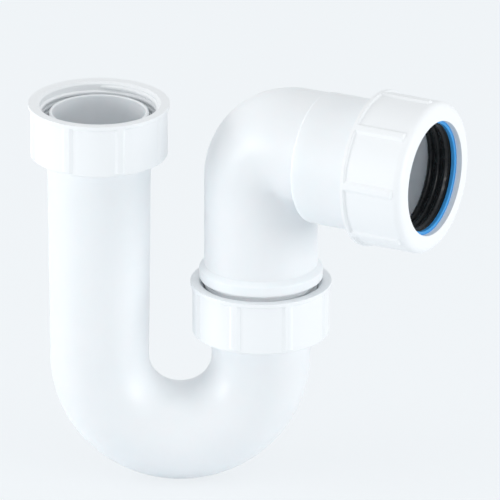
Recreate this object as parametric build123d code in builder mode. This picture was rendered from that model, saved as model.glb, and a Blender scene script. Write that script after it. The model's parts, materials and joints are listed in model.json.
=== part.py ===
from build123d import *
import os
from math import cos, radians, sin, tan

os.makedirs("parts", exist_ok=True)

# A swivel P-trap for a 1 1/2 inch basin or sink waste, in millimetres.
# The origin is on the inlet's axis, on the face where the waste's tail seats on the washer.
# +Z points up and +X points from the inlet towards the swivel joint.

# Bent tube, one moulding with the same flange and spigot on each limb
tube_r = 20.2  # outside, round the bend
tube_wall = 2.5
limb_draft = 0.65  # degrees by which each limb widens on its way up
limb_spacing = 66.0  # from the inlet's axis to the swivel's
inlet_limb_length = 95.6  # from the inlet's washer seat down to the bend
swivel_drop = 77.2  # from the inlet's washer seat down to the swivel's
spigot_rise = 0.2  # how far the spigot stands out from the tube
spigot_step = 0.3  # the spigot is this much thicker where it holds the washer
spigot_height = 10.7  # above the washer's top
spigot_clearance = 0.2  # round the spigot's foot, in the washers and in the elbow
flange_thickness = 2.5
flange_clearance = 0.1  # how far the flange's rim is inside the thread's crest
rim_chamfer = 0.5

# Washers, one on each flange
washer_thickness = 3.0
washer_edge = 0.4

# Screw threads are drawn as plain walls at their crests, with this much room between them
thread_clearance = 0.3

# Swivel elbow, one moulding with a male thread at each end
limb_wall = 2.3
male_inset = 0.1  # how far the lower thread's crest is inside the limb
collar_rise = 2.1  # how far the collar stands out from the limb
collar_height = 3.2  # upright part of the collar
collar_slope = 2.1  # its sloping top
collar_gap = 2.6  # from the swivel nut's top to the collar
bend_r = 17.0  # centre line of the elbow's bend
outlet_height = 72.8  # from the swivel's washer seat up to the outlet's axis
outlet_heading = -28.0  # degrees from +X, as the elbow is stored
bend_step = 0.2  # from the top of the bend's bore up to the top of the socket's
pipe_r = 21.5
pipe_clearance = 3.1  # round the pipe, in the socket
socket_wall = 2.4
socket_start = 27.5  # from the swivel's axis, along the outlet's
socket_length = 25.5  # its plain part, up to the thread
socket_shoulder = 1.2  # rounding of the socket's back edge
socket_floor = 2.5  # thickness of the step that stops the pipe
outlet_thread_rise = 0.4  # how far the thread's crest stands out from the socket
outlet_thread_length = 18.5
mouth_cone_depth = 5.5  # depth of the cone that the seal is pressed into
mouth_cone_widening = 0.8
mouth_chamfer = 0.4

# Nuts: the inlet nut and the swivel nut are the same moulding
nut_height = 22.3
nut_wall = 4.6
nut_lip = 2.4  # thickness of the lip that pulls on the flange
nut_lip_clearance = 0.5  # round the limb, at the limb's thickest
nut_edge = 1.0  # rounding of the closed end
inlet_nut_first_rib = -72.0  # degrees from the camera's side
swivel_nut_first_rib = -67.5

outlet_nut_length = 27.0
outlet_nut_wall = 3.6
outlet_nut_lip = 2.7
outlet_nut_clearance = 2.2  # round the pipe, in the nut's lip
outlet_nut_edge = 3.5
outlet_nut_first_rib = 85.0

rib_count = 8
rib_height = 0.9
rib_base = 6.0
rib_crown = 2.4
rib_sunk = 0.6  # how far a rib's foot reaches into its panel
grip_ring = 1.5  # plain ring at the open end, as high as the ribs
mouth_bevel = 1.0  # inside the open end

# Outlet seal, a rubber ring with lips that grip the pipe, and its slip ring
lip_clearance = 0.1  # between a 43 mm pipe and the lips before the nut is tightened
lip_count = 3
lip_crown = 1.0
lip_pitch = 3.4
lip_depth = 1.1  # how far the lips stand out of the seal's bore
lip_flank = 0.8
first_lip = 1.0  # from the seal's inner end
seal_nose = 6.9  # the part inside the elbow's mouth
seal_head = 4.0  # the part that the slip ring presses on
seal_seat_gap = 0.2  # round the nose
seal_head_inset = 0.4  # how far the head is inside the slip ring's rim
seal_lead_in = 1.0
slip_ring_clearance = 0.9  # round the pipe, in the slip ring
slip_ring_thickness = 1.8
slip_ring_edge = 0.3

# Radii that follow from the tube's and from the pipe's
spigot_r = tube_r + spigot_rise
spigot_foot_r = spigot_r + spigot_step
limb_bore_r = spigot_foot_r + spigot_clearance
limb_r = limb_bore_r + limb_wall
male_r = limb_r - male_inset
flange_r = male_r - flange_clearance
collar_r = limb_r + collar_rise
nut_bore_r = male_r + thread_clearance
nut_panel_r = nut_bore_r + nut_wall
socket_bore_r = pipe_r + pipe_clearance
socket_r = socket_bore_r + socket_wall
bend_offset = socket_bore_r - limb_bore_r - bend_step  # from the outlet's axis up to the bend's
outlet_male_r = socket_r + outlet_thread_rise
outlet_nut_bore_r = outlet_male_r + thread_clearance
outlet_nut_panel_r = outlet_nut_bore_r + outlet_nut_wall
outlet_nut_hole_r = pipe_r + outlet_nut_clearance
slip_ring_r = outlet_male_r
slip_ring_bore_r = pipe_r + slip_ring_clearance
seal_head_r = slip_ring_r - seal_head_inset

# Heights and places that follow from the sizes above
bend_z = -inlet_limb_length
swivel_seat_z = -swivel_drop
collar_low_z = swivel_seat_z + nut_height - nut_lip - flange_thickness - washer_thickness + collar_gap
collar_high_z = collar_low_z + collar_height
outlet_z = swivel_seat_z + outlet_height
elbow_bend_z = outlet_z + bend_offset - bend_r
nut_foot = -washer_thickness - flange_thickness - nut_lip  # below a washer seat
widening = tan(radians(limb_draft))
limb_top_r = tube_r + (inlet_limb_length + nut_foot) * widening
nut_hole_r = limb_top_r + nut_lip_clearance

inlet_axis = Axis((0, 0, 0), (0, 0, 1))
swivel_axis = Axis((limb_spacing, 0, 0), (0, 0, 1))
outlet_dir = Vector(cos(radians(outlet_heading)), sin(radians(outlet_heading)), 0)
sideways = Vector(0, 0, 1).cross(outlet_dir)
# The elbow's plane of symmetry: x is measured along the outlet, y is the height
elbow_plane = Plane(origin=(limb_spacing, 0, 0), x_dir=outlet_dir, z_dir=-sideways)
outlet_axis = Axis(elbow_plane.from_local_coords((0, outlet_z, 0)), outlet_dir)

socket_end = socket_start + socket_length
mouth_s = socket_end + outlet_thread_length
seal_end = mouth_s + seal_head
nut_seat_s = seal_end + slip_ring_thickness
outlet_nut_face = nut_seat_s + outlet_nut_lip


def side_plane(x):
    """A plane through the upright axis at x, with its y pointing up."""
    return Plane(origin=(x, 0, 0), x_dir=(1, 0, 0), z_dir=(0, -1, 0))


def washer(x, seat_z):
    """A flat washer with rounded edges, its top at seat_z."""
    with BuildPart() as ring:
        with BuildSketch(Plane.XY.offset(seat_z - washer_thickness)):
            with Locations((x, 0)):
                Circle(flange_r)
                Circle(limb_bore_r, mode=Mode.SUBTRACT)
        extrude(amount=washer_thickness)
        fillet(ring.edges(), washer_edge)
    return ring.part


def screw_nut(base, length, lip, hole_r, bore_r, panel_r, edge, first_rib):
    """A ribbed nut: base lies on its closed end and points towards its open end."""
    crest_r = panel_r + rib_height
    profile_plane = Plane(origin=base.origin, x_dir=base.x_dir, z_dir=-base.y_dir)
    with BuildPart() as nut:
        with BuildSketch(profile_plane):
            with BuildLine():
                Polyline(
                    (hole_r, 0),
                    (panel_r - edge, 0),
                )
                CenterArc((panel_r - edge, edge), edge, -90, 90)
                Polyline(
                    (panel_r, edge),
                    (panel_r, length - grip_ring),
                    (crest_r, length - grip_ring),
                    (crest_r, length),
                    (bore_r + mouth_bevel, length),
                    (bore_r, length - mouth_bevel),
                    (bore_r, lip),
                    (hole_r, lip),
                    (hole_r, 0),
                )
            make_face()
        revolve(axis=Axis(base.origin, base.z_dir))
        with BuildSketch(base.offset(edge)):
            with PolarLocations(0, rib_count, start_angle=first_rib):
                Polygon(
                    (panel_r - rib_sunk, -rib_base / 2),
                    (crest_r, -rib_crown / 2),
                    (crest_r, rib_crown / 2),
                    (panel_r - rib_sunk, rib_base / 2),
                    align=None,
                )
        extrude(amount=length - grip_ring - edge)
    return nut.part


# Bent tube: half a ring for the bend, then a turned limb at each end of it
with BuildPart() as u_bend:
    with BuildSketch(Plane.XY.offset(bend_z)):
        Circle(tube_r)
        Circle(tube_r - tube_wall, mode=Mode.SUBTRACT)
    revolve(axis=Axis((limb_spacing / 2, 0, bend_z), (0, -1, 0)), revolution_arc=180)
    for limb_axis, seat_z in ((inlet_axis, 0), (swivel_axis, swivel_seat_z)):
        flange_top = seat_z - washer_thickness
        flange_low = flange_top - flange_thickness
        rim_z = seat_z + spigot_height
        with BuildSketch(side_plane(limb_axis.position.X)):
            with BuildLine():
                Polyline(
                    (tube_r, bend_z),
                    (tube_r + (flange_low - bend_z) * widening, flange_low),
                    (flange_r, flange_low),
                    (flange_r, flange_top),
                    (spigot_foot_r, flange_top),
                    (spigot_foot_r, seat_z),
                    (spigot_r, seat_z),
                    (spigot_r, rim_z - rim_chamfer),
                    (spigot_r - rim_chamfer, rim_z),
                    (tube_r - tube_wall + (rim_z - bend_z) * widening, rim_z),
                    (tube_r - tube_wall, bend_z),
                    close=True,
                )
            make_face()
        revolve(axis=limb_axis)
u_bend.part.label = "u_bend"

# Elbow: the upright limb, the bend, the level limb and the socket are joined, then bored out
with BuildPart() as outlet_elbow:
    with BuildSketch(elbow_plane):
        with BuildLine():
            Polyline(
                (0, swivel_seat_z),
                (male_r - mouth_chamfer, swivel_seat_z),
                (male_r, swivel_seat_z + mouth_chamfer),
                (male_r, collar_low_z),
                (collar_r, collar_low_z),
                (collar_r, collar_high_z),
                (limb_r, collar_high_z + collar_slope),
                (limb_r, elbow_bend_z),
                (0, elbow_bend_z),
                close=True,
            )
        make_face()
    revolve(axis=swivel_axis)

    bend_axis = Axis(elbow_plane.from_local_coords((bend_r, elbow_bend_z, 0)), sideways)
    level_start = elbow_plane.from_local_coords((bend_r, elbow_bend_z + bend_r, 0))
    disc_plane = Plane(origin=(limb_spacing, 0, elbow_bend_z), x_dir=outlet_dir, z_dir=(0, 0, 1))
    level_plane = Plane(origin=level_start, x_dir=sideways, z_dir=outlet_dir)

    # The bend is tighter than the tube is thick, so only the part outside its axis is turned
    with BuildSketch(disc_plane):
        Circle(limb_r)
        with Locations((bend_r, 0)):
            Rectangle(2 * limb_r, 2 * limb_r, align=(Align.MIN, Align.CENTER), mode=Mode.SUBTRACT)
    revolve(axis=bend_axis, revolution_arc=90)
    with BuildSketch(level_plane):
        Circle(limb_r)
    extrude(amount=socket_start + socket_floor - bend_r)

    with BuildSketch(elbow_plane):
        with BuildLine():
            Polyline((socket_start, outlet_z), (socket_start, outlet_z + socket_r - socket_shoulder))
            CenterArc(
                (socket_start + socket_shoulder, outlet_z + socket_r - socket_shoulder),
                socket_shoulder,
                90,
                90,
            )
            Polyline(
                (socket_start + socket_shoulder, outlet_z + socket_r),
                (socket_end, outlet_z + socket_r),
                (socket_end, outlet_z + outlet_male_r),
                (mouth_s - mouth_chamfer, outlet_z + outlet_male_r),
                (mouth_s, outlet_z + outlet_male_r - mouth_chamfer),
                (mouth_s, outlet_z),
                (socket_start, outlet_z),
            )
        make_face()
    revolve(axis=outlet_axis)

    with BuildSketch(Plane.XY.offset(swivel_seat_z)):
        with Locations((limb_spacing, 0)):
            Circle(limb_bore_r)
    extrude(amount=elbow_bend_z - swivel_seat_z, mode=Mode.SUBTRACT)
    with BuildSketch(disc_plane):
        Circle(limb_bore_r)
        with Locations((bend_r, 0)):
            Rectangle(2 * limb_r, 2 * limb_r, align=(Align.MIN, Align.CENTER), mode=Mode.SUBTRACT)
    revolve(axis=bend_axis, revolution_arc=90, mode=Mode.SUBTRACT)
    with BuildSketch(level_plane):
        Circle(limb_bore_r)
    extrude(amount=socket_start + socket_floor - bend_r, mode=Mode.SUBTRACT)
    with BuildSketch(elbow_plane):
        with BuildLine():
            Polyline(
                (socket_start + socket_floor, outlet_z),
                (socket_start + socket_floor, outlet_z + socket_bore_r),
                (mouth_s - mouth_cone_depth, outlet_z + socket_bore_r),
                (mouth_s, outlet_z + socket_bore_r + mouth_cone_widening),
                (mouth_s, outlet_z),
                close=True,
            )
        make_face()
    revolve(axis=outlet_axis, mode=Mode.SUBTRACT)
outlet_elbow.part.label = "outlet_elbow"

# Outlet seal: a nose in the elbow's mouth, a head under the slip ring, and lips inside
lip_r = pipe_r + lip_clearance
seal_bore_r = lip_r + lip_depth
seal_start = mouth_s - seal_nose
with BuildPart() as outlet_seal:
    with BuildSketch(elbow_plane):
        with BuildLine():
            Polyline(
                (seal_start, outlet_z + seal_bore_r),
                (seal_start, outlet_z + socket_bore_r - seal_seat_gap),
                (mouth_s - mouth_cone_depth, outlet_z + socket_bore_r - seal_seat_gap),
                (mouth_s, outlet_z + socket_bore_r + mouth_cone_widening - seal_seat_gap),
                (mouth_s, outlet_z + seal_head_r),
                (seal_end, outlet_z + seal_head_r),
                (seal_end, outlet_z + seal_bore_r + seal_lead_in),
                (seal_end - seal_lead_in, outlet_z + seal_bore_r),
                close=True,
            )
        make_face()
        for i in range(lip_count):
            lip_s = seal_start + first_lip + i * lip_pitch
            with BuildLine():
                Polyline(
                    (lip_s - lip_flank, outlet_z + seal_bore_r),
                    (lip_s, outlet_z + lip_r),
                    (lip_s + lip_crown, outlet_z + lip_r),
                    (lip_s + lip_crown + lip_flank, outlet_z + seal_bore_r),
                    (lip_s + lip_crown, outlet_z + seal_bore_r + lip_flank),
                    (lip_s, outlet_z + seal_bore_r + lip_flank),
                    close=True,
                )
            make_face()
    revolve(axis=outlet_axis)
outlet_seal.part.label = "outlet_seal"

with BuildPart() as slip_ring:
    ring_start = elbow_plane.from_local_coords((seal_end, outlet_z, 0))
    with BuildSketch(Plane(origin=ring_start, z_dir=outlet_dir)):
        Circle(slip_ring_r)
        Circle(slip_ring_bore_r, mode=Mode.SUBTRACT)
    extrude(amount=slip_ring_thickness)
    fillet(slip_ring.edges(), slip_ring_edge)
slip_ring.part.label = "slip_ring"

inlet_nut = screw_nut(
    Plane(origin=(0, 0, nut_foot), x_dir=(0, -1, 0), z_dir=(0, 0, 1)),
    nut_height, nut_lip, nut_hole_r, nut_bore_r, nut_panel_r, nut_edge, inlet_nut_first_rib,
)
inlet_nut.label = "inlet_nut"

swivel_nut = screw_nut(
    Plane(origin=(limb_spacing, 0, swivel_seat_z + nut_foot), x_dir=(0, -1, 0), z_dir=(0, 0, 1)),
    nut_height, nut_lip, nut_hole_r, nut_bore_r, nut_panel_r, nut_edge, swivel_nut_first_rib,
)
swivel_nut.label = "swivel_nut"

outlet_nut = screw_nut(
    Plane(
        origin=elbow_plane.from_local_coords((outlet_nut_face, outlet_z, 0)),
        x_dir=sideways,
        z_dir=-outlet_dir,
    ),
    outlet_nut_length, outlet_nut_lip, outlet_nut_hole_r, outlet_nut_bore_r,
    outlet_nut_panel_r, outlet_nut_edge, -outlet_nut_first_rib,
)
outlet_nut.label = "outlet_nut"

inlet_washer = washer(0, 0)
inlet_washer.label = "inlet_washer"
swivel_washer = washer(limb_spacing, swivel_seat_z)
swivel_washer.label = "swivel_washer"

pieces = (
    u_bend.part,
    outlet_elbow.part,
    outlet_seal.part,
    slip_ring.part,
    inlet_nut,
    swivel_nut,
    outlet_nut,
    inlet_washer,
    swivel_washer,
)
for piece in pieces:
    export_step(piece, f"parts/{piece.label}.step")
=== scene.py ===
"""A white plastic swivel P-trap: the finish, soft edges and screw threads of its mouldings."""

import json
from math import acos, atan2, cos, pi, radians, sin, sqrt, tan

import bmesh
import bpy
from mathutils import Matrix, Vector


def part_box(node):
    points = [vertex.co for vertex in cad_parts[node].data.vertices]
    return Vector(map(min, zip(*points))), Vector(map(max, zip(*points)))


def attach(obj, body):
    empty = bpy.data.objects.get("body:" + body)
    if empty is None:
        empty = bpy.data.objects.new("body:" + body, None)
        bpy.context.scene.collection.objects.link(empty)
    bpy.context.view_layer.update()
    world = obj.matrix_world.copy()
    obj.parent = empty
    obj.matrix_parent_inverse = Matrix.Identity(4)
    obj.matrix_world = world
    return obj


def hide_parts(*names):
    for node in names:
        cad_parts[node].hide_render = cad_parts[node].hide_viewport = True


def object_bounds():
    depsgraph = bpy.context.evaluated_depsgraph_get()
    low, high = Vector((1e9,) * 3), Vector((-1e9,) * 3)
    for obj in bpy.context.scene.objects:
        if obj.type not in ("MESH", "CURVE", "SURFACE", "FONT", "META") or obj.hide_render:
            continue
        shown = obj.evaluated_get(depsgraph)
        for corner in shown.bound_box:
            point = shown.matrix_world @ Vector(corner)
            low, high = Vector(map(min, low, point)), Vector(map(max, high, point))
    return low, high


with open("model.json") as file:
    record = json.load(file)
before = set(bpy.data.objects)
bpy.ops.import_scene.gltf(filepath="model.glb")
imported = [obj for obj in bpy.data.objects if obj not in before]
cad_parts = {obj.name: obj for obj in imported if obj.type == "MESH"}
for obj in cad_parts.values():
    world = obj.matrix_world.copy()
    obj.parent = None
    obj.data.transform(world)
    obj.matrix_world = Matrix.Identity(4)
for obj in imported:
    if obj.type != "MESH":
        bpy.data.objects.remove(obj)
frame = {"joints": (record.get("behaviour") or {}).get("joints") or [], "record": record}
cad_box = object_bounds()

bl_info = {
    "name": "Swivel P-Trap",
    "version": (1, 0, 0),
    "blender": (4, 5, 0),
    "location": "3D View > Sidebar > P-Trap",
    "description": "Models the mouldings of a swivel P-trap round its construction frame",
    "category": "Add Mesh",
}

MM = 0.001
TURN = 2 * pi
SAME_PLACE = 0.002 * MM  # vertices nearer than this are one
SLACK = 0.01 * MM  # how far off a vertex may lie when it is picked by its place
SLACK_ANGLE = 0.001  # and when it is picked by its bearing
INSET = 0.1 * MM  # how far inside a wall a piece ends, so that their surfaces don't coincide
AROUND = 96  # steps round every turned surface
SHARP = radians(38)  # edges sharper than this stay sharp in the shading

# Places that the frame gives
joints = {joint["name"]: joint for joint in frame["joints"]}
mounts = {mount["name"]: mount for mount in frame["record"]["mounts"]}
swivel_x = joints["elbow_swivel"]["pos_m"][0]
outlet_dir = Vector(mounts["outlet_pipe"]["axis"])
outlet_z = mounts["outlet_pipe"]["pos_m"][2]
swivel_seat_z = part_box("swivel_washer")[1].z
inlet_nut_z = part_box("inlet_nut")[0].z
swivel_nut_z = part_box("swivel_nut")[0].z
floor_z = cad_box[0].z

up = Vector((0, 0, 1))
sideways = up.cross(outlet_dir)


def place(x_dir, y_dir, z_dir, origin):
    """The matrix that carries a piece modelled at the origin to its place."""
    matrix = Matrix((x_dir, y_dir, z_dir)).transposed().to_4x4()
    matrix.translation = origin
    return matrix


# Turned pieces of the outlet are modelled upright, their heights measured from the swivel's axis
along_outlet = place(sideways, up, outlet_dir, (swivel_x, 0, outlet_z))
elbow_place = place(outlet_dir, sideways, up, (swivel_x, 0, 0))


def size(name, description, mm):
    """A length that a user may change, given in millimetres and kept in metres."""
    return bpy.props.FloatProperty(
        name=name, description=description, default=mm * MM, min=0, precision=5, unit="LENGTH"
    )


def linear(hex_colour):
    """The linear colour of an sRGB hex value."""
    values = [int(hex_colour[i:i + 2], 16) / 255 for i in (0, 2, 4)]
    return [v / 12.92 if v <= 0.04045 else ((v + 0.055) / 1.055) ** 2.4 for v in values]


def colour(name, description, hex_colour):
    """A colour that a user may change, given as sRGB hex."""
    return bpy.props.FloatVectorProperty(
        name=name, description=description, default=linear(hex_colour), min=0, max=1, size=3,
        subtype="COLOR",
    )


class TubeSizes(bpy.types.PropertyGroup):
    """Sizes of the bent tube and of the spigot and flange at each of its ends."""

    radius: size("Tube radius", "Outside, round the bend", 20.2)
    wall: size("Tube wall", "Thickness of the tube", 2.5)
    draft: bpy.props.FloatProperty(
        name="Draft", description="How much each limb widens on its way up",
        default=radians(0.65), unit="ROTATION",
    )
    spigot_radius: size("Spigot radius", "Outside, above the washer", 20.4)
    spigot_foot_radius: size("Spigot foot radius", "Outside, where it holds the washer", 20.7)
    spigot_foot_rounding: size("Spigot foot rounding", "Top edge of the spigot's foot", 0.1)
    spigot_height: size("Spigot height", "Above the washer's top", 10.7)
    rim_rounding: size("Rim rounding", "Outer edge of the spigot's rim", 0.9)
    rim_inner_rounding: size("Inner rim rounding", "Inner edge of the spigot's rim", 0.6)
    flange_radius: size("Flange radius", "Outside of the flange", 23.0)
    flange_thickness: size("Flange thickness", "Of the flange that the nut pulls on", 2.5)
    flange_rounding: size("Flange rounding", "Of the flange's edges", 0.3)
    washer_thickness: size("Washer thickness", "Of the flat washers", 3.0)
    washer_rounding: size("Washer rounding", "Of the washers' edges", 0.5)


class NutSizes(bpy.types.PropertyGroup):
    """Sizes of the two like nuts, on the inlet and on the swivel joint."""

    length: size("Length", "From the closed end to the open end", 22.3)
    lip: size("Lip", "Thickness of the lip that pulls on the flange", 2.4)
    hole_radius: size("Hole radius", "Of the hole that the limb passes through", 21.7)
    root_radius: size("Root radius", "Bottom of the female thread", 24.2)
    crest_radius: size("Crest radius", "Top of the female thread", 23.4)
    panel_radius: size("Panel radius", "Outside, between the ribs", 28.0)
    end_rounding: size("End rounding", "Of the closed end", 1.0)
    thread_top: size("Thread top", "From the open end down to the thread's last turn", 2.3)
    thread_low: size("Thread low", "From the closed end up to the thread's first turn", 9.2)


class OutletNutSizes(bpy.types.PropertyGroup):
    """Sizes of the larger nut, which closes the seal on the pipe."""

    length: size("Length", "From the closed end to the open end", 27.0)
    lip: size("Lip", "Thickness of the lip that presses on the slip ring", 2.7)
    hole_radius: size("Hole radius", "Of the hole that the pipe passes through", 23.7)
    root_radius: size("Root radius", "Bottom of the female thread", 28.6)
    crest_radius: size("Crest radius", "Top of the female thread", 27.8)
    panel_radius: size("Panel radius", "Outside, between the ribs", 31.3)
    end_rounding: size("End rounding", "Of the closed end", 3.5)
    thread_top: size("Thread top", "From the open end down to the thread's last turn", 2.6)
    thread_low: size("Thread low", "From the closed end up to the thread's first turn", 10.6)


class RibSizes(bpy.types.PropertyGroup):
    """Sizes of the grip ribs, the same on all three nuts."""

    count: bpy.props.IntProperty(
        name="Ribs", description="Number of ribs round a nut", default=8, min=3
    )
    height: size("Rib height", "Above the panels", 0.9)
    base: size("Rib base", "Width where a rib meets the panels", 4.6)
    crown: size("Rib crown", "Width of a rib's flat top", 2.4)
    end_slope: size("Rib end", "Length of the slope at a rib's free end", 0.6)
    ring: size("Grip ring", "Plain ring at the open end, as high as the ribs", 1.5)
    ring_slope: size("Grip ring slope", "Length of the slope from the panels up to the ring", 0.5)
    bevel: size("Mouth bevel", "Inside the open end", 1.0)
    softness: size("Softness", "Rounding of the ribs' and the nuts' edges", 0.25)


class ElbowSizes(bpy.types.PropertyGroup):
    """Sizes of the swivel elbow."""

    thread_root: size("Lower thread root", "Bottom of the male thread at the lower end", 22.2)
    thread_crest: size("Lower thread crest", "Top of the male thread at the lower end", 23.1)
    limb_radius: size("Limb radius", "Outside of the upright limb and the bend", 23.2)
    bore_radius: size("Bore radius", "Inside of the upright limb and the bend", 20.9)
    collar_radius: size("Collar radius", "Outside of the collar", 25.3)
    collar_low: size("Collar low", "From the washer up to the collar", 16.0)
    collar_height: size("Collar height", "Upright part of the collar", 4.2)
    collar_slope: size("Collar slope", "Height of the collar's sloping top", 2.1)
    bend_radius: size("Bend radius", "Centre line of the bend", 17.0)
    bend_offset: size("Bend offset", "From the outlet's axis up to the bend's", 3.5)
    crease_softness: size("Crease softness", "Width of the blend inside the bend", 5.0)
    socket_radius: size("Socket radius", "Outside of the socket", 27.0)
    socket_bore: size("Socket bore", "Inside radius of the socket", 24.6)
    socket_start: size("Socket start", "From the swivel's axis", 27.5)
    socket_end: size("Socket end", "Where the outlet thread starts", 53.0)
    socket_rounding: size("Socket rounding", "Of the socket's back edge", 1.2)
    socket_floor: size("Socket floor", "Thickness of the step that stops the pipe", 2.5)
    outlet_root: size("Outlet thread root", "Bottom of the male thread at the outlet", 26.5)
    outlet_crest: size("Outlet thread crest", "Top of the male thread at the outlet", 27.4)
    mouth: size("Mouth", "From the swivel's axis to the outlet's mouth", 71.5)
    mouth_cone: size("Mouth cone", "Depth of the cone that the seal is pressed into", 5.5)
    mouth_widening: size("Mouth widening", "Of the cone at the mouth", 0.8)
    edge_rounding: size("Edge rounding", "Of the collar's and the mouths' edges", 0.4)


class ThreadSizes(bpy.types.PropertyGroup):
    """Sizes of the screw threads, which are all right-hand."""

    pitch: size("Pitch", "Of the 1 1/2 inch pipe thread, 11 turns to the inch", 2.309)
    outlet_pitch: size("Outlet pitch", "Of the outlet thread, 8 turns to the inch", 3.175)
    sunk: size("Sunk", "How far a ridge's foot reaches into its wall", 0.3)
    rounding: size("Rounding", "Of a ridge's crest", 0.35)


class SealSizes(bpy.types.PropertyGroup):
    """Sizes of the outlet seal and its slip ring."""

    lips: bpy.props.IntProperty(name="Lips", description="Number of lips", default=3, min=1)
    lip_radius: size("Lip radius", "At the tips of the lips", 21.6)
    bore_radius: size("Bore radius", "Between the lips", 22.7)
    lip_pitch: size("Lip pitch", "From one lip to the next", 3.4)
    lip_crown: size("Lip crown", "Width of a lip's tip", 1.0)
    lip_flank: size("Lip flank", "Width of a lip's slope", 0.8)
    first_lip: size("First lip", "From the seal's inner end", 1.0)
    nose: size("Nose", "Length inside the elbow's mouth", 6.9)
    head: size("Head", "Length outside the elbow's mouth", 4.0)
    head_radius: size("Head radius", "Outside, under the slip ring", 27.0)
    seat_gap: size("Seat gap", "Round the nose", 0.2)
    lead_in: size("Lead-in", "Bevel at the seal's outer end", 1.0)
    rounding: size("Rounding", "Of the lips' edges", 0.25)
    ring_radius: size("Slip ring radius", "Outside of the slip ring", 27.4)
    ring_bore: size("Slip ring bore", "Inside radius of the slip ring", 22.4)
    ring_thickness: size("Slip ring thickness", "Along the outlet's axis", 1.8)
    ring_rounding: size("Slip ring rounding", "Of the slip ring's edges", 0.35)


class TrapColours(bpy.types.PropertyGroup):
    """Colours of the trap's materials."""

    polypropylene: colour("Polypropylene", "Tube and elbow", "F4F8FB")
    polypropylene_shade: colour("Polypropylene shade", "Faint clouding of the white", "EEF3F7")
    # The nuts' white and its clouding are the tube's polypropylene darkened, as painted shade on
    # the nuts
    nuts: colour("Nut polypropylene", "Nuts", "E0E8EB")
    nuts_clouding_painted_shade: colour("Nut polypropylene shade", "Faint clouding of the nuts' white", "DBE4E7")
    washers: colour("Polythene", "Flat washers", "E6ECEE")
    slip_ring: colour("Nylon", "Slip ring", "3FA6EE")
    rubber: colour("Rubber", "Outlet seal", "141618")
    floor: colour("Floor", "Floor and background", "F3F7FA")


def rounded(*corners, steps=4):
    """An outline's points. A corner is (radius, height) or (radius, height, rounding).

    Every rounding is an arc of so many steps.
    """
    points = []
    for i, corner in enumerate(corners):
        point = Vector(corner[:2])
        rounding = corner[2] if len(corner) > 2 else 0
        if not rounding:
            points.append(point)
            continue
        before = (Vector(corners[i - 1][:2]) - point).normalized()
        after = (Vector(corners[(i + 1) % len(corners)][:2]) - point).normalized()
        half = acos(before.dot(after)) / 2
        centre = point + (before + after).normalized() * rounding / sin(half)
        first = point + before * rounding / tan(half) - centre
        last = point + after * rounding / tan(half) - centre
        sweep = pi - 2 * half
        square = (last - first * cos(sweep)) / sin(sweep)
        for k in range(steps + 1):
            angle = sweep * k / steps
            points.append(centre + first * cos(angle) + square * sin(angle))
    return points


def start_clean():
    """Leaves edit mode with nothing selected."""
    if bpy.context.object and bpy.context.object.mode != "OBJECT":
        bpy.ops.object.mode_set(mode="OBJECT")
    bpy.ops.object.select_all(action="DESELECT")


def make_active(obj):
    """Selects one object alone."""
    start_clean()
    bpy.context.view_layer.objects.active = obj
    obj.select_set(True)


def edit(obj):
    """Enters edit mode on one object, with all of it selected."""
    make_active(obj)
    bpy.ops.object.mode_set(mode="EDIT")
    bpy.ops.mesh.select_all(action="SELECT")


def select_where(obj, test):
    """In edit mode, selects just the vertices whose index and place pass a test."""
    bpy.ops.mesh.select_all(action="DESELECT")
    mesh = bmesh.from_edit_mesh(obj.data)
    for vert in mesh.verts:
        vert.select = test(vert.index, vert.co)
    mesh.select_flush(True)
    bmesh.update_edit_mesh(obj.data)


def draw_outline(name, points, bearing=0.0, closed=True):
    """An outline in an upright half-plane, drawn by vertices and left selected in edit mode."""
    start_clean()
    bpy.ops.mesh.primitive_plane_add(size=MM)
    obj = bpy.context.object
    obj.name = name
    corners = [Vector((cos(bearing) * p[0], sin(bearing) * p[0], p[1])) for p in points]
    bpy.ops.object.mode_set(mode="EDIT")
    bpy.ops.mesh.select_all(action="SELECT")
    bpy.ops.mesh.merge(type="CENTER")
    bpy.ops.transform.translate(value=corners[0])
    for here, there in zip(corners, corners[1:] + corners[:closed]):
        bpy.ops.mesh.extrude_vertices_move(TRANSFORM_OT_translate={"value": there - here})
    bpy.ops.mesh.select_all(action="SELECT")
    bpy.ops.mesh.remove_doubles(threshold=SAME_PLACE)
    bpy.ops.mesh.select_all(action="SELECT")
    return obj


def spin(angle, steps, centre=(0, 0, 0), axis=(0, 0, 1), dupli=False):
    """Spins what is selected by the right-hand rule; the operator itself turns the other way."""
    bpy.ops.mesh.spin(steps=steps, angle=angle, center=centre, axis=-Vector(axis), dupli=dupli)


def close_up():
    """Merges doubles, points the faces outwards and leaves edit mode."""
    bpy.ops.mesh.select_all(action="SELECT")
    bpy.ops.mesh.remove_doubles(threshold=SAME_PLACE)
    bpy.ops.mesh.normals_make_consistent(inside=False)
    bpy.ops.object.mode_set(mode="OBJECT")


def turned(name, points, closed=True):
    """An outline turned round the Z axis."""
    obj = draw_outline(name, points, closed=closed)
    spin(TURN, AROUND)
    close_up()
    return obj


def move_to(obj, matrix):
    """Carries a piece to its place, and keeps the place in its mesh."""
    make_active(obj)
    obj.matrix_world = matrix
    bpy.ops.object.transform_apply(location=True, rotation=True, scale=True)


def apply_modifier(obj, kind, **settings):
    """Adds one modifier to a piece and applies it."""
    make_active(obj)
    modifier = obj.modifiers.new(kind.lower(), kind)
    for key, value in settings.items():
        setattr(modifier, key, value)
    bpy.ops.object.modifier_apply(modifier=modifier.name)


def combine(obj, other, operation):
    """Joins another closed mesh to a piece, or cuts it away, and removes the other."""
    apply_modifier(obj, "BOOLEAN", operation=operation, object=other, solver="EXACT")
    mesh = other.data
    bpy.data.objects.remove(other)
    bpy.data.meshes.remove(mesh)


def copied(obj, name):
    """A second piece like the first, with a mesh of its own."""
    other = obj.copy()
    other.data = obj.data.copy()
    other.name = name
    bpy.context.scene.collection.objects.link(other)
    return other


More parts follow.
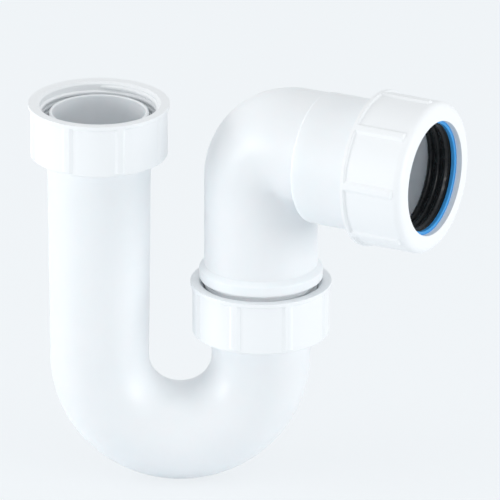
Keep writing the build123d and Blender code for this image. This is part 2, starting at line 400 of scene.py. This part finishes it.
def finish_piece(obj, body, node, material):
    """Smooths the shading, gives the piece its material and ties it to the frame."""
    make_active(obj)
    bpy.ops.object.shade_smooth_by_angle(angle=SHARP)
    apply_modifier(obj, "WEIGHTED_NORMAL", keep_sharp=True)
    obj.data.materials.clear()
    obj.data.materials.append(material)
    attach(obj, body)
    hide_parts(node)


# A thread's ridge. The two widths are shares of its pitch
RIDGE_HALF_BASE = 0.44  # half its width where it meets the wall
RIDGE_HALF_CREST = 0.20  # half its width at the crest
FADE_RINGS = 5  # sections over which it sinks into the wall at each end


def thread_ridge(root, crest, pitch, low, high, top_bearing):
    """A right-hand ridge wound from low to high, which ends at the top at a bearing.

    It fades out at both ends, where its crest sinks into the wall.
    """
    threads = bpy.context.scene.trap_threads
    out = 1 if crest > root else -1
    foot = root - out * threads.sunk
    half_base, half_crest = RIDGE_HALF_BASE * pitch, RIDGE_HALF_CREST * pitch
    section = rounded(
        (foot, -half_base),
        (root, -half_base),
        (crest, -half_crest, threads.rounding),
        (crest, half_crest, threads.rounding),
        (root, half_base),
        (foot, half_base),
        steps=2,
    )
    turns = (high - low) / pitch
    ridge = draw_outline("ridge", [(r, low + h) for r, h in section], top_bearing - turns * TURN)
    bpy.ops.object.mode_set(mode="OBJECT")
    steps = round(turns * AROUND)
    apply_modifier(
        ridge, "SCREW", axis="Z", angle=turns * TURN, screw_offset=high - low, steps=steps,
        render_steps=steps,
    )
    edit(ridge)
    for k in range(FADE_RINGS):
        drop = (abs(crest - root) + 0.5 * threads.sunk) * (1 - k / FADE_RINGS) ** 2
        sink = 1 - out * drop / root
        for ring in (k, steps - k):
            first = ring * len(section)
            select_where(ridge, lambda i, co: first <= i < first + len(section))
            bpy.ops.transform.resize(value=(sink, sink, 1), center_override=(0, 0, 0))
    bpy.ops.mesh.select_all(action="SELECT")
    bpy.ops.mesh.fill_holes(sides=0)
    close_up()
    return ridge


# How a nut is drawn, besides the sizes that a user may change
CROWN_STEPS = 2  # steps across a rib's flat top
PANEL_STEPS = 9  # steps from one rib to the next
SOFTENED = radians(14)  # edges sharper than this are rounded


def ribbed_nut(name, nut, pitch, thread_bearing):
    """A nut with its closed end at height 0, its open end up and its first rib along +X."""
    ribs = bpy.context.scene.trap_ribs
    panel, crest = nut.panel_radius, nut.panel_radius + ribs.height
    ring_low = nut.length - ribs.ring
    rib_end = nut.end_rounding + ribs.end_slope
    base_angle, crown_angle = ribs.base / panel, ribs.crown / crest
    flank_angle = (base_angle - crown_angle) / 2
    obj = draw_outline(
        name,
        rounded(
            (nut.hole_radius, 0),
            (panel, 0, nut.end_rounding),
            (panel, rib_end),
            (panel, ring_low - ribs.ring_slope),
            (crest, ring_low),
            (crest, nut.length),
            (nut.root_radius + ribs.bevel, nut.length),
            (nut.root_radius, nut.length - ribs.bevel),
            (nut.root_radius, nut.lip),
            (nut.hole_radius, nut.lip),
            steps=9,
        ),
        -base_angle / 2,
    )
    spin(flank_angle, 1)
    spin(crown_angle, CROWN_STEPS)
    spin(flank_angle, 1)
    spin(TURN / ribs.count - base_angle, PANEL_STEPS)

    def on_crown(_, co):
        """Whether a vertex is on the flat top of the rib that was spun."""
        on_rib = rib_end - SLACK < co.z < ring_low - SLACK
        outside = Vector(co[:2]).length > panel - SLACK
        return on_rib and outside and abs(atan2(co.y, co.x)) < crown_angle / 2 + SLACK_ANGLE

    select_where(obj, on_crown)
    bpy.ops.transform.resize(value=(crest / panel, crest / panel, 1), center_override=(0, 0, 0))
    bpy.ops.mesh.select_all(action="SELECT")
    spin(TURN * (ribs.count - 1) / ribs.count, ribs.count - 1, dupli=True)
    close_up()
    apply_modifier(
        obj, "BEVEL", width=ribs.softness, segments=3, limit_method="ANGLE", angle_limit=SOFTENED
    )
    thread_high = nut.length - nut.thread_top
    ridge = thread_ridge(
        nut.root_radius, nut.crest_radius, pitch, nut.thread_low, thread_high, thread_bearing
    )
    combine(obj, ridge, "UNION")
    return obj


# How the elbow's bent rods are drawn
BEND_STEPS = 24  # steps round the quarter bend
MITRE_ROWS = 14  # rows of faces on a straight part, where the mitre cuts it and just before
MITRE_LEAD = 8 * MM  # how far before the mitre these rows start
ON_MITRE = SAME_PLACE / 10  # vertices nearer than this to the mitre's plane lie on it
CREASE_SHARES = (1.0, 0.8, 0.6, 0.4)  # of the crease's softness, smoothed one after another


def bent_core(name, radius, low_z, end_s):
    """A closed rod in the elbow's plane: upright, round the tight bend, then level.

    The bend is tighter than the rod is thick, so only the part outside its axis is spun, and the
    two straight parts meet inside it on a mitre, whose crease is then softened.
    """
    elbow = bpy.context.scene.trap_elbow
    bend = elbow.bend_radius
    axis_z = outlet_z + elbow.bend_offset
    corner = Vector((bend, 0, axis_z - bend))
    mitre = Vector((1, 0, 1)).normalized()
    step = (radius - bend + MITRE_LEAD) / MITRE_ROWS

    def straight(start, direction, turned_by):
        """One straight part, from its capped end to the bend, cut on the mitre."""
        start_clean()
        bpy.ops.mesh.primitive_circle_add(
            vertices=AROUND, radius=radius, fill_type="NGON", location=start,
            rotation=(0, turned_by, 0),
        )
        part = bpy.context.object
        bpy.ops.object.transform_apply(location=True, rotation=True, scale=True)
        run = (corner - start).dot(direction)
        rows = min(MITRE_ROWS, int(run / step))
        bpy.ops.object.mode_set(mode="EDIT")
        bpy.ops.mesh.select_all(action="SELECT")
        bpy.ops.mesh.edge_face_add()
        for length in [run - rows * step] + [step] * rows:
            bpy.ops.mesh.extrude_region_move(TRANSFORM_OT_translate={"value": direction * length})
        bpy.ops.mesh.delete(type="ONLY_FACE")
        bpy.ops.mesh.select_all(action="SELECT")
        outer = direction.z > 0
        bpy.ops.mesh.bisect(
            plane_co=corner, plane_no=mitre, threshold=ON_MITRE, clear_outer=outer,
            clear_inner=not outer,
        )
        bpy.ops.object.mode_set(mode="OBJECT")
        return part

    level = straight(Vector((end_s, 0, axis_z)), Vector((-1, 0, 0)), pi / 2)
    upright = straight(Vector((0, 0, low_z)), up, 0)
    edit(upright)
    select_where(upright, lambda _, co: abs(co.z - corner.z) < SLACK and co.x < corner.x + SLACK)
    spin(pi / 2, BEND_STEPS, corner, (0, 1, 0))
    bpy.ops.object.mode_set(mode="OBJECT")
    level.select_set(True)
    bpy.ops.object.join()
    upright.name = name
    edit(upright)
    bpy.ops.mesh.remove_doubles(threshold=SAME_PLACE)
    half_crease = sqrt(radius ** 2 - bend ** 2)

    def from_crease(co):
        """How far a point is from the crease."""
        across = max(-half_crease, min(half_crease, co.y))
        out = sqrt(radius ** 2 - across ** 2)
        return (co - Vector((out, across, axis_z - out))).length

    for share in CREASE_SHARES:
        select_where(upright, lambda _, co: from_crease(co) < share * elbow.crease_softness)
        bpy.ops.mesh.vertices_smooth(factor=0.5, repeat=6)
    close_up()
    return upright


def enabled(sockets, name):
    """The socket of this name that the node's settings have turned on."""
    return next(socket for socket in sockets if socket.name == name and socket.enabled)


def add_node(tree, kind, settings=None, **inputs):
    """Adds a node, sets its properties, and sets or links its inputs."""
    node = tree.nodes.new(kind)
    for key, value in (settings or {}).items():
        setattr(node, key, value)
    for key, value in inputs.items():
        socket = enabled(node.inputs, key.replace("_", " "))
        if isinstance(value, bpy.types.NodeSocket):
            tree.links.new(value, socket)
        else:
            socket.default_value = value
    return node


def new_material(name):
    """An empty node material, with its tree and the object's own coordinates."""
    material = bpy.data.materials.new(name)
    material.use_nodes = True
    tree = material.node_tree
    tree.nodes.clear()
    coordinates = add_node(tree, "ShaderNodeTexCoord").outputs["Object"]
    return material, tree, coordinates


def output(tree, shader):
    """Ends a material's tree."""
    add_node(tree, "ShaderNodeOutputMaterial", Surface=shader)


def noise(tree, coordinates, width, detail):
    """Noise whose features are about this wide."""
    node = add_node(
        tree, "ShaderNodeTexNoise", Vector=coordinates, Scale=1 / width, Detail=detail
    )
    return node.outputs["Fac"]


def mapped(tree, value, given, wanted):
    """A value mapped from one range to another."""
    node = add_node(
        tree, "ShaderNodeMapRange", Value=value, From_Min=given[0], From_Max=given[1],
        To_Min=wanted[0], To_Max=wanted[1],
    )
    return node.outputs["Result"]


def blended(tree, share, base, other):
    """The colour between two, by a share that varies over the surface."""
    node = add_node(
        tree, "ShaderNodeMix", {"data_type": "RGBA"}, Factor=share, A=(*base, 1), B=(*other, 1)
    )
    return enabled(node.outputs, "Result")


def bumped(tree, height, strength, distance, **inputs):
    """The surface's normal, bent by a height that varies over it."""
    node = add_node(
        tree, "ShaderNodeBump", Height=height, Strength=strength, Distance=distance, **inputs
    )
    return node.outputs["Normal"]


def scaled(base, factor):
    """A colour made darker or lighter."""
    return [factor * value for value in base]


def polypropylene(name, depth, base, shade):
    """Injection-moulded white polypropylene: waxy and half-matt, lit through its skin to a depth.

    The melt clouds it very faintly over 20 mm or so, the cooled walls are not quite true, and the
    mould's spark-eroded grain, 0.1 mm in the real one, is drawn at 0.6 mm so that it shows.
    """
    material, tree, coordinates = new_material(name)
    clouds = noise(tree, coordinates, width=22 * MM, detail=2.0)
    grain = noise(tree, coordinates, width=0.6 * MM, detail=2.0)
    waves = noise(tree, coordinates, width=14 * MM, detail=0.0)
    sinks = bumped(tree, waves, strength=0.12, distance=0.4 * MM)
    skin = bumped(tree, grain, strength=0.06, distance=0.05 * MM, Normal=sinks)
    shader = add_node(
        tree, "ShaderNodeBsdfPrincipled", Base_Color=blended(tree, clouds, base, shade),
        Roughness=mapped(tree, clouds, given=(0.3, 0.7), wanted=(0.34, 0.42)), IOR=1.49,
        Normal=skin, Subsurface_Weight=0.5, Subsurface_Scale=depth,
        Subsurface_Radius=(0.85, 1.0, 1.0),
    )
    output(tree, shader.outputs["BSDF"])
    return material


def polythene(name, base):
    """Cut polythene sheet for washers: softer and greyer than the mouldings, its cut edge dull."""
    material, tree, coordinates = new_material(name)
    fibres = noise(tree, coordinates, width=1.5 * MM, detail=3.0)
    shader = add_node(
        tree, "ShaderNodeBsdfPrincipled",
        Base_Color=blended(tree, fibres, base, scaled(base, 0.88)), Roughness=0.5, IOR=1.5,
        Normal=bumped(tree, fibres, strength=0.15, distance=0.1 * MM),
        Subsurface_Weight=0.15, Subsurface_Scale=1.5 * MM,
    )
    output(tree, shader.outputs["BSDF"])
    return material


def nylon(name, base):
    """Moulded nylon, dyed through: a clean satin colour with a slight unevenness in the dye."""
    material, tree, coordinates = new_material(name)
    dye = noise(tree, coordinates, width=9 * MM, detail=2.0)
    grain = noise(tree, coordinates, width=0.5 * MM, detail=2.0)
    shader = add_node(
        tree, "ShaderNodeBsdfPrincipled", Base_Color=blended(tree, dye, base, scaled(base, 0.85)),
        Roughness=0.38, IOR=1.53, Normal=bumped(tree, grain, strength=0.08, distance=0.05 * MM),
    )
    output(tree, shader.outputs["BSDF"])
    return material


def rubber(name, base):
    """Moulded nitrile rubber with a film of lubricant: black, a broken wet gloss along its lips."""
    material, tree, coordinates = new_material(name)
    smears = noise(tree, coordinates, width=3 * MM, detail=4.0)
    shader = add_node(
        tree, "ShaderNodeBsdfPrincipled", Base_Color=blended(tree, smears, base, scaled(base, 1.8)),
        Roughness=mapped(tree, smears, given=(0.35, 0.65), wanted=(0.16, 0.42)), IOR=1.52,
        Specular_IOR_Level=0.2, Normal=bumped(tree, smears, strength=0.3, distance=0.15 * MM),
    )
    output(tree, shader.outputs["BSDF"])
    return material


def made_once(name, maker, *values):
    """A material by its name, made the first time it is asked for."""
    return bpy.data.materials.get(name) or maker(name, *values)


# How far light passes into the mouldings
TUBE_DEPTH = 3.5 * MM
NUT_DEPTH = 1.0 * MM


def tube_plastic():
    """The material of the tube and the elbow."""
    tints = bpy.context.scene.trap_colours
    return made_once(
        "moulded_polypropylene", polypropylene, TUBE_DEPTH, tints.polypropylene,
        tints.polypropylene_shade,
    )


def nut_plastic_painted_shade():
    """The material of the nuts: the tube's white polypropylene darkened, as painted shade."""
    tints = bpy.context.scene.trap_colours
    return made_once("nut_polypropylene", polypropylene, NUT_DEPTH, tints.nuts, tints.nuts_clouding_painted_shade)


U_BEND_STEPS = 64  # steps round the tube's bend


class TRAP_OT_bent_tube(bpy.types.Operator):
    """Models the bent tube with a flange and a spigot on each limb"""

    bl_idname = "trap.bent_tube"
    bl_label = "Bent Tube"

    def execute(self, context):
        tube = context.scene.trap_tube
        bend_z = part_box("u_bend")[0].z + swivel_x / 2 + tube.radius
        inner = tube.radius - tube.wall
        limbs = []
        for x, seat_z in ((swivel_x, swivel_seat_z), (0, 0)):
            flange_top = seat_z - tube.washer_thickness
            flange_low = flange_top - tube.flange_thickness
            rim_z = seat_z + tube.spigot_height
            limb = turned(
                "u_bend",
                rounded(
                    (tube.radius, bend_z),
                    (tube.radius + (flange_low - bend_z) * tan(tube.draft), flange_low),
                    (tube.flange_radius, flange_low, tube.flange_rounding),
                    (tube.flange_radius, flange_top, tube.flange_rounding),
                    (tube.spigot_foot_radius, flange_top),
                    (tube.spigot_foot_radius, seat_z, tube.spigot_foot_rounding),
                    (tube.spigot_radius, seat_z),
                    (tube.spigot_radius, rim_z, tube.rim_rounding),
                    (inner + (rim_z - bend_z) * tan(tube.draft), rim_z, tube.rim_inner_rounding),
                    (inner, bend_z),
                ),
                closed=False,
            )
            move_to(limb, Matrix.Translation((x, 0, 0)))
            limbs.append(limb)
        second, first = limbs
        edit(first)
        select_where(first, lambda _, co: co.z < bend_z + SAME_PLACE)
        spin(pi, U_BEND_STEPS, (swivel_x / 2, 0, bend_z), (0, -1, 0))
        bpy.ops.object.mode_set(mode="OBJECT")
        second.select_set(True)
        bpy.ops.object.join()
        edit(first)
        close_up()
        first.name = "bent_tube"
        finish_piece(first, "trap_bend", "u_bend", tube_plastic())
        return {"FINISHED"}


# How far each nut is turned on its axis, to stand as it does in the photograph
INLET_TURN = radians(-162)
SWIVEL_TURN = radians(-157.5)
OUTLET_TURN = radians(-85)
THREAD_START = radians(91.5)  # the inlet nut's thread starts at this bearing, at the back


class TRAP_OT_inlet_and_swivel_nuts(bpy.types.Operator):
    """Models the inlet nut and copies it for the swivel joint"""

    bl_idname = "trap.inlet_and_swivel_nuts"
    bl_label = "Inlet and Swivel Nuts"

    def execute(self, context):
        scene = context.scene
        first = ribbed_nut(
            "ribbed_inlet_nut", scene.trap_nuts, scene.trap_threads.pitch, THREAD_START - INLET_TURN
        )
        second = copied(first, "ribbed_swivel_nut")
        for nut, spot, turn in (
            (first, (0, 0, inlet_nut_z), INLET_TURN),
            (second, (swivel_x, 0, swivel_nut_z), SWIVEL_TURN),
        ):
            move_to(nut, Matrix.Translation(spot) @ Matrix.Rotation(turn, 4, "Z"))
        finish_piece(first, "inlet_nut", "inlet_nut", nut_plastic_painted_shade())
        finish_piece(second, "swivel_nut", "swivel_nut", nut_plastic_painted_shade())
        return {"FINISHED"}


class TRAP_OT_outlet_nut(bpy.types.Operator):
    """Models the outlet nut"""

    bl_idname = "trap.outlet_nut"
    bl_label = "Outlet Nut"

    def execute(self, context):
        scene = context.scene
        seal = scene.trap_seal
        nut = scene.trap_outlet_nut
        face = scene.trap_elbow.mouth + seal.head + seal.ring_thickness + nut.lip
        pitch = scene.trap_threads.outlet_pitch
        obj = ribbed_nut("ribbed_outlet_nut", nut, pitch, thread_bearing=0)
        spot = along_outlet @ Vector((0, 0, face))
        turn = Matrix.Rotation(OUTLET_TURN, 4, "Z")
        move_to(obj, place(sideways, -up, -outlet_dir, spot) @ turn)
        finish_piece(obj, "outlet_nut", "outlet_nut", nut_plastic_painted_shade())
        return {"FINISHED"}


class TRAP_OT_swivel_elbow(bpy.types.Operator):
    """Models the swivel elbow with its collar, tight bend, socket and threads"""

    bl_idname = "trap.swivel_elbow"
    bl_label = "Swivel Elbow"

    def execute(self, context):
        scene = context.scene
        elbow = scene.trap_elbow
        threads = scene.trap_threads
        limb = elbow.limb_radius
        over = 2 * MM  # how far one rod reaches into or past the next before they are joined or cut
        seat = swivel_seat_z
        collar_low = seat + elbow.collar_low
        collar_high = collar_low + elbow.collar_height
        soft = elbow.edge_rounding

        obj = bent_core("swivel_elbow", limb, collar_low + over, elbow.socket_start + over)
        foot = turned(
            "foot",
            rounded(
                (0, seat),
                (elbow.thread_root, seat, soft),
                (elbow.thread_root, collar_low),
                (elbow.collar_radius, collar_low, 2 * soft),
                (elbow.collar_radius, collar_high, 2 * soft),
                (limb - INSET, collar_high + elbow.collar_slope),
                (0, collar_high + elbow.collar_slope),
            ),
            closed=False,
        )
        combine(obj, foot, "UNION")
        socket = turned(
            "socket",
            rounded(
                (0, elbow.socket_start),
                (elbow.socket_radius, elbow.socket_start, elbow.socket_rounding),
                (elbow.socket_radius, elbow.socket_end, soft),
                (elbow.outlet_root, elbow.socket_end),
                (elbow.outlet_root, elbow.mouth, soft),
                (0, elbow.mouth),
                steps=6,
            ),
            closed=False,
        )
        to_outlet = elbow_place.inverted() @ along_outlet
        move_to(socket, to_outlet)
        combine(obj, socket, "UNION")

        floor_s = elbow.socket_start + elbow.socket_floor
        bore = bent_core("bore", elbow.bore_radius, seat - over, floor_s + over)
        pocket = turned(
            "pocket",
            rounded(
                (0, floor_s),
                (elbow.socket_bore, floor_s, soft),
                (elbow.socket_bore, elbow.mouth - elbow.mouth_cone),
                (elbow.socket_bore + elbow.mouth_widening, elbow.mouth),
                (elbow.socket_bore + elbow.mouth_widening, elbow.mouth + over),
                (0, elbow.mouth + over),
            ),
            closed=False,
        )
        move_to(pocket, to_outlet)
        combine(bore, pocket, "UNION")
        combine(obj, bore, "DIFFERENCE")

        lower_thread = thread_ridge(
            elbow.thread_root, elbow.thread_crest, threads.pitch, seat + threads.pitch,
            collar_low - threads.pitch, top_bearing=0,
        )
        combine(obj, lower_thread, "UNION")
        outlet_thread = thread_ridge(
            elbow.outlet_root, elbow.outlet_crest, threads.outlet_pitch,
            elbow.socket_end + threads.outlet_pitch, elbow.mouth - threads.outlet_pitch / 2,
            top_bearing=0,
        )
        move_to(outlet_thread, to_outlet)
        combine(obj, outlet_thread, "UNION")
        move_to(obj, elbow_place)
        finish_piece(obj, "elbow", "outlet_elbow", tube_plastic())
        return {"FINISHED"}


class TRAP_OT_outlet_seal(bpy.types.Operator):
    """Models the rubber seal with its gripping lips"""

    bl_idname = "trap.outlet_seal"
    bl_label = "Outlet Seal"

    def execute(self, context):
        seal = context.scene.trap_seal
        elbow = context.scene.trap_elbow
        mouth = elbow.mouth
        start, end = mouth - seal.nose, mouth + seal.head
        nose = elbow.socket_bore - seal.seat_gap
        corners = [
            (seal.bore_radius, start, seal.rounding),
            (nose, start, seal.rounding),
            (nose, mouth - elbow.mouth_cone),
            (nose + elbow.mouth_widening, mouth),
            (seal.head_radius, mouth, seal.rounding),
            (seal.head_radius, end, seal.rounding),
            (seal.bore_radius + seal.lead_in, end, seal.rounding),
            (seal.bore_radius, end - seal.lead_in),
        ]
        for i in reversed(range(seal.lips)):
            low = start + seal.first_lip + i * seal.lip_pitch
            high = low + seal.lip_crown
            corners += [
                (seal.bore_radius, high + seal.lip_flank),
                (seal.lip_radius, high, seal.rounding),
                (seal.lip_radius, low, seal.rounding),
                (seal.bore_radius, low - seal.lip_flank),
            ]
        obj = turned("lipped_seal", rounded(*corners, steps=3))
        move_to(obj, along_outlet)
        material = made_once("moulded_nitrile_rubber", rubber, context.scene.trap_colours.rubber)
        finish_piece(obj, "elbow", "outlet_seal", material)
        return {"FINISHED"}


class TRAP_OT_slip_ring(bpy.types.Operator):
    """Models the ring between the seal and the outlet nut"""

    bl_idname = "trap.slip_ring"
    bl_label = "Slip Ring"

    def execute(self, context):
        seal = context.scene.trap_seal
        low = context.scene.trap_elbow.mouth + seal.head
        high = low + seal.ring_thickness
        soft = seal.ring_rounding
        obj = turned(
            "blue_slip_ring",
            rounded(
                (seal.ring_bore, low, soft),
                (seal.ring_radius, low, soft),
                (seal.ring_radius, high, soft),
                (seal.ring_bore, high, soft),
            ),
        )
        move_to(obj, along_outlet)
        material = made_once("dyed_nylon", nylon, context.scene.trap_colours.slip_ring)
        finish_piece(obj, "slip_ring", "slip_ring", material)
        return {"FINISHED"}


class TRAP_OT_washers(bpy.types.Operator):
    """Models a flat washer and copies it for the second flange"""

    bl_idname = "trap.washers"
    bl_label = "Washers"

    def execute(self, context):
        scene = context.scene
        tube = scene.trap_tube
        soft = tube.washer_rounding
        first = turned(
            "flat_inlet_washer",
            rounded(
                (scene.trap_elbow.bore_radius, -tube.washer_thickness, soft),
                (tube.flange_radius, -tube.washer_thickness, soft),
                (tube.flange_radius, 0, soft),
                (scene.trap_elbow.bore_radius, 0, soft),
            ),
        )
        second = copied(first, "flat_swivel_washer")
        move_to(second, Matrix.Translation((swivel_x, 0, swivel_seat_z)))
        material = made_once("cut_polythene", polythene, scene.trap_colours.washers)
        finish_piece(first, "inlet_washer", "inlet_washer", material)
        finish_piece(second, "swivel_washer", "swivel_washer", material)
        return {"FINISHED"}


# The photograph's framing: the image is 500 pixels wide and 2.45 of them are a millimetre
IMAGE_PX = 500
PX_PER_MM = 2.45
INLET_AXIS_PX = 99.3  # the inlet's axis, from the image's left edge
SEAT_PX = 136.0  # the inlet's washer seat, from the image's top edge
CAMERA_HEIGHT = radians(21)  # how far the camera looks down
CAMERA_DISTANCE = 8.0  # metres, far enough for almost no perspective
SENSOR_WIDTH = 36  # millimetres, as Blender counts it

# Soft boxes, one at each side of the object and one above the camera: name, place, width, power
LAMPS = (
    ("left_lamp", (-1.75, -0.45, 0.1), 0.9, 18),
    ("right_lamp", (1.75, -0.8, 0.0), 0.9, 17),
    ("top_lamp", (0.1, -0.5, 1.8), 1.2, 5),
)
LAMPS_AIM = Vector((swivel_x, 0, -60 * MM))
WORLD_WHITE = "FBFDFF"
WORLD_STRENGTH = 0.67
FLOOR_RADIUS = 30
FLOOR_PLAIN = 0.85  # the share of the floor's plain colour in what the camera sees of it


class TRAP_OT_studio(bpy.types.Operator):
    """Sets up the floor, the lamps, the world and the camera"""

    bl_idname = "trap.studio"
    bl_label = "Studio"

    def execute(self, context):
        self.lay_floor(context)
        self.light_world(context)
        for lamp in LAMPS:
            self.hang_lamp(*lamp)
        self.set_camera(context)
        return {"FINISHED"}

    def looked_at(self, tree):
        """1 for what the camera sees, straight or reflected, and 0 for what only gives light."""
        path = add_node(tree, "ShaderNodeLightPath")
        total = path.outputs["Is Camera Ray"]
        for name in ("Is Glossy Ray", "Is Transmission Ray"):
            both = add_node(tree, "ShaderNodeMath", {"operation": "ADD", "use_clamp": True})
            tree.links.new(total, both.inputs[0])
            tree.links.new(path.outputs[name], both.inputs[1])
            total = both.outputs[0]
        return total

    def lay_floor(self, context):
        """A pale floor. The camera sees mostly its plain colour, with a trace of the shadow."""
        start_clean()
        bpy.ops.mesh.primitive_circle_add(
            vertices=64, radius=FLOOR_RADIUS, fill_type="NGON", location=(0, 0, floor_z)
        )
        floor = context.object
        floor.name = "floor"
        bpy.ops.object.transform_apply(location=True, rotation=True, scale=True)
        tint = (*context.scene.trap_colours.floor, 1)
        material, tree, _ = new_material("painted_floor")
        plain = add_node(tree, "ShaderNodeEmission", Color=tint, Strength=1.0)
        lit = add_node(tree, "ShaderNodeBsdfDiffuse", Color=tint)
        looked_at = self.looked_at(tree)
        share = add_node(tree, "ShaderNodeMapRange", Value=looked_at, To_Max=FLOOR_PLAIN)
        mixed = add_node(tree, "ShaderNodeMixShader", Fac=share.outputs["Result"])
        tree.links.new(lit.outputs[0], mixed.inputs[1])
        tree.links.new(plain.outputs[0], mixed.inputs[2])
        output(tree, mixed.outputs[0])
        floor.data.materials.append(material)

    def light_world(self, context):
        """The camera sees the floor's colour; a softer white lights the object from all round."""
        world = bpy.data.worlds.new("studio")
        context.scene.world = world
        world.use_nodes = True
        tree = world.node_tree
        tree.nodes.clear()
        plain = (*context.scene.trap_colours.floor, 1)
        white = (*linear(WORLD_WHITE), 1)
        seen = add_node(tree, "ShaderNodeBackground", Color=plain, Strength=1.0)
        light = add_node(tree, "ShaderNodeBackground", Color=white, Strength=WORLD_STRENGTH)
        mixed = add_node(tree, "ShaderNodeMixShader", Fac=self.looked_at(tree))
        tree.links.new(light.outputs[0], mixed.inputs[1])
        tree.links.new(seen.outputs[0], mixed.inputs[2])
        add_node(tree, "ShaderNodeOutputWorld", Surface=mixed.outputs[0])

    def hang_lamp(self, name, spot, width, watts):
        """A square soft box that points at the object."""
        start_clean()
        bpy.ops.object.light_add(type="AREA", location=spot)
        lamp = bpy.context.object
        lamp.name = name
        lamp.data.size = width
        lamp.data.energy = watts
        towards = LAMPS_AIM - Vector(spot)
        lamp.rotation_euler = towards.to_track_quat("-Z", "Y").to_euler()
        lamp.visible_camera = False

    def set_camera(self, context):
        """The camera at the photograph's angle and framing."""
        start_clean()
        middle_x = (IMAGE_PX / 2 - INLET_AXIS_PX) / PX_PER_MM * MM
        middle_z = (SEAT_PX - IMAGE_PX / 2) / PX_PER_MM * MM / cos(CAMERA_HEIGHT)
        back = Vector((0, -cos(CAMERA_HEIGHT), sin(CAMERA_HEIGHT)))
        spot = Vector((middle_x, 0, middle_z)) + back * CAMERA_DISTANCE
        bpy.ops.object.camera_add(location=spot)
        camera = context.object
        camera.rotation_euler = (-back).to_track_quat("-Z", "Y").to_euler()
        camera.data.sensor_width = SENSOR_WIDTH
        camera.data.lens = SENSOR_WIDTH * CAMERA_DISTANCE / (IMAGE_PX / PX_PER_MM * MM)
        camera.data.clip_start, camera.data.clip_end = 0.1, 100
        context.scene.camera = camera
        context.scene.view_settings.view_transform = "Standard"


GROUPS = {
    "trap_tube": TubeSizes,
    "trap_nuts": NutSizes,
    "trap_outlet_nut": OutletNutSizes,
    "trap_ribs": RibSizes,
    "trap_elbow": ElbowSizes,
    "trap_threads": ThreadSizes,
    "trap_seal": SealSizes,
    "trap_colours": TrapColours,
}
OPERATORS = (
    TRAP_OT_studio,
    TRAP_OT_bent_tube,
    TRAP_OT_inlet_and_swivel_nuts,
    TRAP_OT_swivel_elbow,
    TRAP_OT_outlet_nut,
    TRAP_OT_outlet_seal,
    TRAP_OT_slip_ring,
    TRAP_OT_washers,
)


class TRAP_PT_pieces(bpy.types.Panel):
    """Lists the trap's pieces and their sizes"""

    bl_idname = "TRAP_PT_pieces"
    bl_label = "Swivel P-Trap"
    bl_space_type = "VIEW_3D"
    bl_region_type = "UI"
    bl_category = "P-Trap"

    def draw(self, context):
        for operator in OPERATORS:
            self.layout.operator(operator.bl_idname)
        for group in GROUPS:
            box = self.layout.box()
            for name in GROUPS[group].__annotations__:
                box.prop(getattr(context.scene, group), name)


CLASSES = (*GROUPS.values(), *OPERATORS, TRAP_PT_pieces)


def register():
    for cls in CLASSES:
        bpy.utils.register_class(cls)
    for name, group in GROUPS.items():
        setattr(bpy.types.Scene, name, bpy.props.PointerProperty(type=group))


def unregister():
    for name in GROUPS:
        delattr(bpy.types.Scene, name)
    for cls in reversed(CLASSES):
        bpy.utils.unregister_class(cls)


def main():
    register()
    bpy.ops.trap.studio()
    bpy.ops.trap.bent_tube()
    bpy.ops.trap.inlet_and_swivel_nuts()
    bpy.ops.trap.swivel_elbow()
    bpy.ops.trap.outlet_nut()
    bpy.ops.trap.outlet_seal()
    bpy.ops.trap.slip_ring()
    bpy.ops.trap.washers()


if __name__ == "__main__":
    main()
